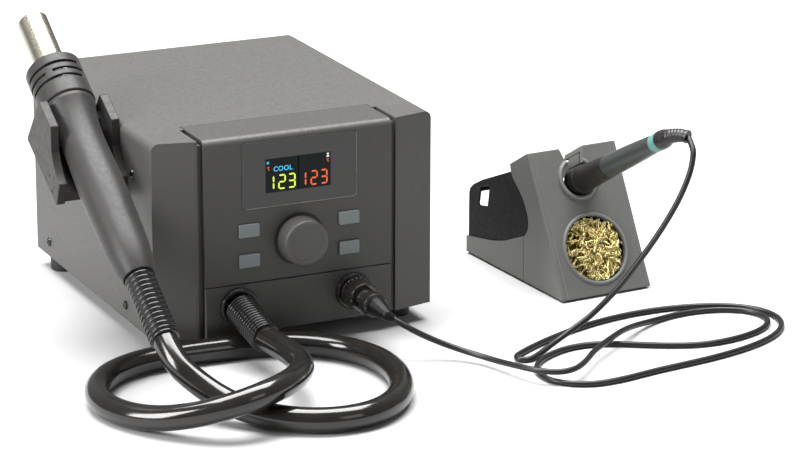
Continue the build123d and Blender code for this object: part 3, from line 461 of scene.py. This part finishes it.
for entry in frame["record"]["subparts"]:
    node = NODES[entry["node"]]
    look = LOOKS.get(entry["material_slot"])
    if look is None:
        continue
    if node.material_slots:
        for place in node.material_slots:
            place.link = "OBJECT"
            place.material = look
    else:
        node.data.materials.append(look)


# ---- hose and its reliefs ----

def cut_tube(names, route, cut_point, diameter, sides, slot_name):
    """Two tubes along a route that meet at a point of it, with their own lines."""
    line = spline_line(route)
    cut = cut_at(line, cut_point)
    around = side_directions(line)
    lower, upper = line[:cut + 1], line[cut:]
    radius = diameter / 2 * MM
    still = dress(tube(names[0], lower, radius, sides, around[:cut + 1]), slot_name)
    moving = dress(tube(names[1], upper, radius, sides, around[cut:]), slot_name)
    return still, lower, moving, upper


def make_hose():
    hose, lower, rise, upper = cut_tube(("hose", "hose_rise"), HOSE_ROUTE, HOSE_CUT, HOSE_DIAMETER,
                                        HOSE_SIDES, "hose_rubber")
    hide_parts("hose_floor")
    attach(hose, "station")
    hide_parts("hose_hang")
    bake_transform(rise)
    return hose, lower, rise, upper


RIB_COUNT, RIB_STEPS = 13, 8
RIB_LEAD = 0.6         # the plain end's length, in ribs
RIB_FULLNESS = 0.6     # below 1, rounder than half a sine wave
RELIEF_BORE = 0.6      # the closed ends' inner radius, as a share of the core's


def rounded_ribs(length, core, rib, end_radius, growth=0.0):
    """The profile in mm of a strain relief of round rings, its plain end first, growing to its far end."""
    pitch = length / (RIB_COUNT + RIB_LEAD)
    profile = [(0, core * RELIEF_BORE), (0, end_radius - 0.5), (0.3, end_radius), (pitch * 0.5, end_radius)]
    for i in range(RIB_COUNT):
        for k in range(RIB_STEPS):
            share = k / RIB_STEPS
            lift = math.sin(math.pi * share) ** RIB_FULLNESS
            wider = growth * (i + share) / RIB_COUNT
            profile.append((pitch * (RIB_LEAD + i + share), core + wider + (rib - core) * lift))
    return profile + [(length, core + growth), (length, core * RELIEF_BORE)]


PORT_CENTRE = mm(-41.5, -112.5, 29.9)
PORT_FLANGE = 3.6
HAND_RELIEF_START = mm(-117.75, -181.7, 41)
HAND_RELIEF_LENGTH = 49.3
HAND_TILT = math.radians(32.8)


def make_reliefs():
    end = mm(*HOSE_ROUTE[0])
    start = PORT_CENTRE + (end - PORT_CENTRE).normalized() * PORT_FLANGE * MM
    length = (end - start).length / MM
    relief = lathe("port_relief", rounded_ribs(length, 8.5, 9.9, 9.6, 0.9), end, start - end)
    dress(relief, "relief_rubber")
    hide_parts("hose_port_relief")
    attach(relief, "station")
    up = Vector((0, math.cos(HAND_TILT), math.sin(HAND_TILT)))
    hand = lathe("handpiece_relief", rounded_ribs(HAND_RELIEF_LENGTH, 7.6, 9.4, 9.25), HAND_RELIEF_START, up)
    dress(hand, "relief_rubber")
    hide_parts("hand_relief")
    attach(hand, "handpiece")
    return relief


# ---- iron cord ----

def make_cord():
    cord, lower, rise, upper = cut_tube(("iron_cord", "iron_cord_rise"), CORD_ROUTE, CORD_CUT, CORD_DIAMETER,
                                        CORD_SIDES, "cord_rubber")
    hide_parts("iron_cord_floor")
    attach(cord, "station")
    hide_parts("iron_cord_hang")
    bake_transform(rise)
    return cord, lower, rise, upper


HOSE, HOSE_LOWER, HOSE_END, HOSE_UPPER = make_hose()
PORT_RELIEF = make_reliefs()
CORD, CORD_LOWER, CORD_END, CORD_UPPER = make_cord()


# ---- iron relief ----

IRON_ORIGIN = Vector((219.2503, -74.7893, 69.4968))    # in mm
IRON_OUT = Vector((0.0614, -0.8775, 0.4756))
RELIEF_RUN = (108.4, 112, 116, 118.5)                  # from the coloured ring on, along the iron's axis
RELIEF_TURN = [(229.0, -182.0, 127.0), (231.6, -186.4, 127.9), (233.5, -190, 127.5)]
BOOT_END, NECK_END, COLLAR_START = 0.2, 0.4, 0.92      # shares of the relief's length
RIPPLE_HEIGHT, RIPPLE_PITCH = 0.13, 0.085


def make_iron_relief():
    """A boot that narrows in two steps to a rippled tail, and ends in a small collar."""
    line = spline_line([tuple(IRON_ORIGIN + IRON_OUT * s) for s in RELIEF_RUN] + RELIEF_TURN)
    total = line_length(line)
    radii, run = [], 0.0
    for i, point in enumerate(line):
        if i:
            run += (point - line[i - 1]).length
        share = run / total
        radius = 6.4 - 0.3 * min(1, share / BOOT_END)
        if share > BOOT_END:
            radius = 6.1 - 1.3 * min(1, (share - BOOT_END) / (NECK_END - BOOT_END))
        if share > NECK_END:
            radius = 4.8 - 0.9 * (share - NECK_END) / (1 - NECK_END)
            radius += RIPPLE_HEIGHT * math.cos(2 * math.pi * (share - NECK_END) / RIPPLE_PITCH)
        if share > COLLAR_START:
            radius = 4.3
        radii.append(radius * MM)
    relief = tube("iron_cord_relief", line, radii, 28)
    dress(relief, "iron_relief_rubber")
    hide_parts("iron_relief")
    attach(relief, "iron")


make_iron_relief()


# ---- the stand's face and its brass wool ----

STAND_ORIGIN = mm(187.0, -113.9, 1.5)
STAND_YAW = math.radians(4.0)
FACE_TILT = math.radians(28.4)
FACE_X = Vector((math.cos(STAND_YAW), math.sin(STAND_YAW), 0))
FACE_BACK = Vector((-math.sin(STAND_YAW), math.cos(STAND_YAW), 0))
FACE_UP = FACE_BACK * math.sin(FACE_TILT) + Vector((0, 0, math.cos(FACE_TILT)))
FACE_OUT = FACE_X.cross(FACE_UP)
HOLDER_CENTRE = (33.8, 79)
HOLDER_RIM_RADIUS = 13.4
HOLDER_RIM_START, HOLDER_RIM_SWEEP, HOLDER_RIM_STEPS = 118, 303, 72    # it is open on one side
WOOL_CENTRE = (34.0, 31.0)


def on_face(x, slope, out=0.0):
    """The point x and slope mm along the stand's slanted front, and out mm in front of it."""
    return STAND_ORIGIN + (FACE_X * x + FACE_UP * slope + FACE_OUT * out) * MM


def polar(centre, radius, angle):
    return centre[0] + radius * math.cos(angle), centre[1] + radius * math.sin(angle)


WOOL_RIM = [(-0.8, 22.2), (0.3, 22.2), (0.75, 22.5), (0.95, 23.0), (0.95, 23.6), (0.7, 24.1), (0.2, 24.4),
            (-0.8, 24.4)]    # its section: mm in front of the face, radius
RIM_STEPS = 96
FACE_LINES = (1.4, 4.6, 63.7, 66.9)


def make_face_details():
    """The raised rims round the holder and the wool, and the fine lines beside the face's edges, coloured
    lighter than the stand as painted highlight.
    """
    arc = [math.radians(HOLDER_RIM_START + HOLDER_RIM_SWEEP * k / HOLDER_RIM_STEPS)
           for k in range(HOLDER_RIM_STEPS + 1)]
    line = [on_face(*polar(HOLDER_CENTRE, HOLDER_RIM_RADIUS, a), 0.25) for a in arc]
    rims = [tube("holder_rim", line, 1.35 * MM, 20)]
    verts, faces = [], []
    for k in range(RIM_STEPS):
        for out, r in WOOL_RIM:
            verts.append(on_face(*polar(WOOL_CENTRE, r, 2 * math.pi * k / RIM_STEPS), out))
    count = len(WOOL_RIM)
    for k in range(RIM_STEPS):
        here, ahead = k * count, (k + 1) % RIM_STEPS * count
        for j in range(count):
            j_next = (j + 1) % count
            faces.append((here + j, ahead + j, ahead + j_next, here + j_next))
    rims.append(mesh_object("wool_rim", verts, faces))
    for index, x in enumerate(FACE_LINES):
        line = [on_face(x, slope, 0.02) for slope in (1.5, 50, 99)]
        rims.append(tube(f"face_line_{index}", line, 0.24 * MM, 8))
    for rim in rims:
        dress(rim, "stand_paint", RIM_HIGHLIGHT)
        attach(rim, "station")


make_face_details()


def add_ribbon(verts, faces, line, across, width, thickness):
    """A closed thin ribbon along a line."""
    first = len(verts)
    for i, point in enumerate(line):
        tangent = (line[min(i + 1, len(line) - 1)] - line[max(i - 1, 0)]).normalized()
        out = tangent.cross(across).normalized() * thickness
        side = across * width
        verts += [point - side, point + out, point + side, point - out]
    for i in range(len(line) - 1):
        for k in range(4):
            a, b = first + 4 * i + k, first + 4 * i + (k + 1) % 4
            faces.append((a, b, b + 4, a + 4))
    faces.append((first + 3, first + 2, first + 1, first))
    last = first + 4 * (len(line) - 1)
    faces.append((last, last + 1, last + 2, last + 3))


CURL_COUNT, CURL_STEPS = 470, 10    # ribbons, and points on each turn of one
CURL_SPREAD = 20.6                  # how far from the middle a ribbon's own middle lies
CUP_RADIUS = 21.4                   # what every ribbon stays inside


def make_wool():
    """Coiled brass ribbons in the cup, over a dark lumpy bed that is painted shade for the depths between them.
    """
    rng = random.Random(7)
    verts, faces = [], []
    for _ in range(CURL_COUNT):
        radius = CURL_SPREAD * math.sqrt(rng.random())
        angle = rng.uniform(0, 2 * math.pi)
        bulge = 1.0 - (radius / 21.5) ** 2
        depth = rng.uniform(-7.0, -1.2) + 3.2 * bulge * rng.random()
        centre = on_face(*polar(WOOL_CENTRE, radius, angle), depth)
        heading = rng.uniform(0, 2 * math.pi)
        lift = rng.uniform(-0.35, 0.35)
        axis = (FACE_X * math.cos(heading) + FACE_UP * math.sin(heading) + FACE_OUT * lift).normalized()
        side = axis.cross(FACE_OUT).normalized()
        up = axis.cross(side)
        coil = rng.uniform(0.6, 1.3)
        pitch = rng.uniform(0.75, 1.2)
        turns = rng.uniform(4.0, 11.0)
        bend = rng.uniform(-0.09, 0.09)
        phase = rng.uniform(0, 2 * math.pi)
        line = []
        steps = int(turns * CURL_STEPS)
        for k in range(steps + 1):
            turn = 2 * math.pi * turns * k / steps + phase
            along = (k / steps - 0.5) * turns * pitch
            sway = bend * along * along
            local = axis * along + side * (coil * math.cos(turn) + sway) + up * coil * math.sin(turn)
            point = centre + local * MM
            flat = point - STAND_ORIGIN
            x, slope = flat.dot(FACE_X) / MM - WOOL_CENTRE[0], flat.dot(FACE_UP) / MM - WOOL_CENTRE[1]
            reach = math.hypot(x, slope)
            if reach > CUP_RADIUS:
                point += (FACE_X * x + FACE_UP * slope) * (CUP_RADIUS / reach - 1) * MM
            line.append(point)
        add_ribbon(verts, faces, line, axis, rng.uniform(0.26, 0.46) * MM, 0.04 * MM)
    wool = mesh_object("wool_curls", verts, faces)
    dress(wool, "wool", WOOL)
    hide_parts("brass_wool")
    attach(wool, "station")
    dome = [(-8.0 + 2.5 * math.sqrt(1 - (r / 21.3) ** 2), r) for r in (21.2, 20, 18, 15, 12, 9, 6, 3, 0.6)]
    bed = lathe("wool_bed", [(-11.5, 5), (-11.5, 21.0)] + dome, on_face(*WOOL_CENTRE), FACE_OUT, 48)
    lumps = bpy.data.textures.new("lumps", "CLOUDS")
    lumps.noise_scale = 0.004
    push = bed.modifiers.new("lumps", "DISPLACE")
    push.texture = lumps
    push.strength = 0.0016
    push.mid_level = 0.6
    dress(bed, "wool", WOOL_PAINTED_SHADE)
    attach(bed, "station")


make_wool()


# ---- display ----

GLASS_Y = -112.7                         # the window's front face
LCD_LOW, LCD_HIGH = 101.5, 123.4
LIT_FRONT, LIT_BACK = GLASS_Y - 0.16, GLASS_Y - 0.08
DIGIT_LOW, DIGIT_HEIGHT = 103.0, 9.6
LEFT_DIGITS = (("1", -21.1, 4.4), ("2", -14.1, 5.2), ("3", -7.5, 5.2))    # character, left edge, width
RIGHT_DIGITS = (("1", 0.6, 4.4), ("2", 7.8, 5.0), ("3", 14.5, 5.0))


def flat_piece(name, outlines, y_front, y_back, material):
    """Closed thin plates on the window from outlines in X and Z, in mm, anticlockwise from the front."""
    verts, faces = [], []
    for outline in outlines:
        first, count = len(verts), len(outline)
        verts += [mm(x, y_front, z) for x, z in outline]
        verts += [mm(x, y_back, z) for x, z in outline]
        faces.append(tuple(first + k for k in range(count)))
        faces.append(tuple(first + count + k for k in reversed(range(count))))
        for k in range(count):
            a, b = first + k, first + (k + 1) % count
            faces.append((a, a + count, b + count, b))
    piece = mesh_object(name, verts, faces, smooth=False)
    piece.data.materials.append(material)
    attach(piece, "station")


def rounded(x0, x1, z0, z1, r):
    """The outline of a plate with round corners."""
    points = []
    for cx, cz, start in ((x1 - r, z0 + r, -90), (x1 - r, z1 - r, 0),
                          (x0 + r, z1 - r, 90), (x0 + r, z0 + r, 180)):
        for k in range(5):
            angle = math.radians(start + 22.5 * k)
            points.append((cx + r * math.cos(angle), cz + r * math.sin(angle)))
    return points


SEGMENTS = {"a": (0, 1, 1, 1), "b": (1, 1, 1, 0.5), "c": (1, 0.5, 1, 0), "d": (0, 0, 1, 0),
            "e": (0, 0.5, 0, 0), "g": (0, 0.5, 1, 0.5)}    # each from x, z to x, z, as shares of the digit
DIGITS = {"1": "bc", "2": "abged", "3": "abgcd"}
SEGMENT_GAP = 0.18


def number(digits, weight):
    """The lit segments of some digits; each is a bar with pointed ends."""
    bars = []
    half = weight / 2
    for char, x, width in digits:
        for key in DIGITS[char]:
            ax, az, bx, bz = SEGMENTS[key]
            a = (x + half + ax * (width - weight), DIGIT_LOW + half + az * (DIGIT_HEIGHT - weight))
            b = (x + half + bx * (width - weight), DIGIT_LOW + half + bz * (DIGIT_HEIGHT - weight))
            upright = a[0] == b[0]
            low, high = sorted((a[1], b[1]) if upright else (a[0], b[0]))
            low, high = low + SEGMENT_GAP, high - SEGMENT_GAP
            if upright:
                bars.append([(a[0], low), (a[0] + half, low + half), (a[0] + half, high - half),
                             (a[0], high), (a[0] - half, high - half), (a[0] - half, low + half)])
            else:
                bars.append([(low, a[1]), (low + half, a[1] - half), (high - half, a[1] - half),
                             (high, a[1]), (high - half, a[1] + half), (low + half, a[1] + half)])
    return bars


def glow(name, colour, strength):
    """A lit plastic, whose own colour is half as bright as its light's."""
    material = finish_of(name, tuple(c * 0.5 for c in colour), 0.35, mottle=(900, 0.05), edge=None)
    shader = material.node_tree.nodes["Principled BSDF"]
    shader.inputs["Emission Color"].default_value = tuple(colour) + (1.0,)
    shader.inputs["Emission Strength"].default_value = strength
    return material


def make_plates():
    dark = finish_of("lcd_glass", (0.006, 0.009, 0.010), 0.3, grain=(3000, 0.03, 0.00003), mottle=(300, 0.1),
                     edge=None, specular=0.12)
    back = finish_of("lcd_divider", (0.001, 0.001, 0.001), 0.4, edge=None, specular=0.05)
    for name, x0, x1, r, proud, material in (("lcd_left", -22.5, -0.75, 0.4, 0.10, dark),
                                             ("lcd_right", 0.15, 21.6, 0.4, 0.10, dark),
                                             ("lcd_divider", -0.8, 0.2, 0.2, 0.06, back)):
        flat_piece(name, [rounded(x0, x1, LCD_LOW, LCD_HIGH, r)], GLASS_Y - proud, GLASS_Y + 0.05, material)


FAN_CENTRE, FAN_SIZE = (-20.9, 120.9), 0.72
UNIT_STEP = (40.3, 0.8)    # from the left number's unit to the right one's


def make_symbols(cyan, red, white):
    """A fan, the two temperature units and a small tool."""
    blades = []
    for k in range(4):
        angle = math.radians(45 + 90 * k)
        shape = [polar((0, 0), 0.5, angle - 0.9), polar((0, 0), 1.5, angle), polar((0, 0), 1.25, angle + 0.75),
                 (0, 0)]
        blades.append([(FAN_CENTRE[0] + FAN_SIZE * x, FAN_CENTRE[1] + FAN_SIZE * z) for x, z in shape])
    flat_piece("fan_symbol", blades, LIT_FRONT, LIT_BACK, cyan)
    unit = [rounded(-21.5, -20.9, 117.6, 118.2, 0.25), rounded(-20.8, -19.9, 117.9, 118.3, 0.15),
            rounded(-20.8, -20.4, 116.2, 118.2, 0.15), rounded(-20.8, -19.9, 116.1, 116.5, 0.15)]
    flat_piece("unit_left", unit, LIT_FRONT, LIT_BACK, red)
    unit = [[(x + UNIT_STEP[0], z + UNIT_STEP[1]) for x, z in outline] for outline in unit]
    flat_piece("unit_right", unit, LIT_FRONT, LIT_BACK, red)
    tool = [rounded(18.9, 20.5, 122.0, 122.7, 0.25),
            [(19.2, 121.9), (19.5, 121.0), (20.0, 121.0), (20.3, 121.9)],
            rounded(18.7, 20.7, 120.1, 120.9, 0.25)]
    flat_piece("tool_symbol", tool, LIT_FRONT, LIT_BACK, white)


def make_window_edge():
    """The bright line along the window's right and lower edge, a painted highlight in light grey."""
    turns = [math.radians(15 * k) for k in range(7)]
    corner = [(37.25 + 2.2 * math.cos(a), 94.65 - 2.2 * math.sin(a)) for a in turns]
    edge = [(39.45, 133.4), (39.45, 94.6)] + corner + [(-36.0, 92.45)]
    rim = tube("window_edge", [mm(x, GLASS_Y + 0.02, z) for x, z in edge], 0.13 * MM, 8)
    dress(rim, "window", finish_of("window_edge_highlight", (0.30, 0.30, 0.285), 0.25, mottle=(350, 0.3), edge=None))
    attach(rim, "station")


def make_word(cyan):
    """The state word over the left number, as a mesh."""
    text = bpy.data.curves.new("cool_word", "FONT")
    text.body = "COOL"
    text.size = 4.4 * MM
    text.space_character = 1.06
    text.offset = 0.09 * MM
    text.extrude = 0.04 * MM
    word = new_object("cool_text", text)
    word.location = mm(-17.3, GLASS_Y - 0.12, 115.0)
    word.rotation_euler = (math.radians(90), 0, 0)
    bpy.context.view_layer.update()
    mesh = bpy.data.meshes.new_from_object(word.evaluated_get(bpy.context.evaluated_depsgraph_get()))
    mesh.transform(word.matrix_world)
    bpy.data.objects.remove(word)
    bpy.data.curves.remove(text)
    cool = new_object("cool_word", mesh)
    cool.data.materials.clear()
    cool.data.materials.append(cyan)
    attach(cool, "station")


def make_display():
    make_plates()
    lime = glow("lime_segments", (0.62, 0.86, 0.05), 0.95)
    red = glow("red_segments", (0.72, 0.095, 0.012), 0.9)
    cyan = glow("cyan_segments", (0.03, 0.42, 0.66), 0.95)
    white = glow("white_segments", (0.62, 0.70, 0.70), 0.95)
    flat_piece("digits_left", number(LEFT_DIGITS, 1.0), LIT_FRONT, LIT_BACK, lime)
    flat_piece("digits_right", number(RIGHT_DIGITS, 1.05), LIT_FRONT, LIT_BACK, red)
    make_symbols(cyan, red, white)
    make_window_edge()
    make_word(cyan)


make_display()


# ---- floor and light ----

FLOOR_REACH = 9.0
GLOSSY_LIGHT, OTHER_LIGHT, SEEN_LIGHT = 0.26, 0.16, 1.0    # the surroundings in reflections, elsewhere, in view
LIGHTS = (    # name, place, aim, size, power in W
    ("top_light", (0.1, 0.35, 2.3), (0.05, 0.0, 0.0), (2.6, 1.5), 186),
    ("left_light", (-2.4, -0.2, 1.2), (0.0, 0.0, 0.1), (0.9, 1.5), 80),
    ("front_light", (0.9, -2.6, 1.3), (0.0, 0.0, 0.1), (1.2, 1.0), 6),
)


def make_floor():
    corners = [(x * FLOOR_REACH, y * FLOOR_REACH, 0) for x, y in ((-1, -1), (1, -1), (1, 1), (-1, 1))]
    floor = mesh_object("floor", corners, [(0, 1, 2, 3)], smooth=False)
    material, tree, shader = nodes_of("floor_paper")
    paper = noise_node(tree, 40, 3.0)
    tree.links.new(ramp(tree, paper.outputs["Fac"], grey(0.50), grey(0.52)), shader.inputs["Base Color"])
    shader.inputs["Roughness"].default_value = 0.8
    shader.inputs["Specular IOR Level"].default_value = 0.15
    floor.data.materials.append(material)


def area_light(name, place, aim, size, power):
    data = bpy.data.lights.new(name, "AREA")
    data.shape = "RECTANGLE"
    data.size, data.size_y = size
    data.energy = power
    lamp = new_object(name, data)
    lamp.location = place
    lamp.rotation_mode = "QUATERNION"
    lamp.rotation_quaternion = (Vector(aim) - Vector(place)).to_track_quat("-Z", "Y")


def make_world():
    world = bpy.data.worlds.new("studio")
    SCENE.world = world
    world.use_nodes = True
    tree = world.node_tree
    background = tree.nodes["Background"]
    path = tree.nodes.new("ShaderNodeLightPath")
    glossy = tree.nodes.new("ShaderNodeMix")
    glossy.inputs["A"].default_value = OTHER_LIGHT
    glossy.inputs["B"].default_value = GLOSSY_LIGHT
    tree.links.new(path.outputs["Is Glossy Ray"], glossy.inputs["Factor"])
    seen = tree.nodes.new("ShaderNodeMix")
    seen.inputs["B"].default_value = SEEN_LIGHT
    tree.links.new(path.outputs["Is Camera Ray"], seen.inputs["Factor"])
    tree.links.new(glossy.outputs["Result"], seen.inputs["A"])
    tree.links.new(seen.outputs["Result"], background.inputs["Strength"])
    background.inputs["Color"].default_value = (1.0, 1.0, 1.0, 1.0)


make_floor()
make_world()
for light in LIGHTS:
    area_light(*light)
SCENE.view_settings.view_transform = "Standard"
SCENE.view_settings.look = "None"
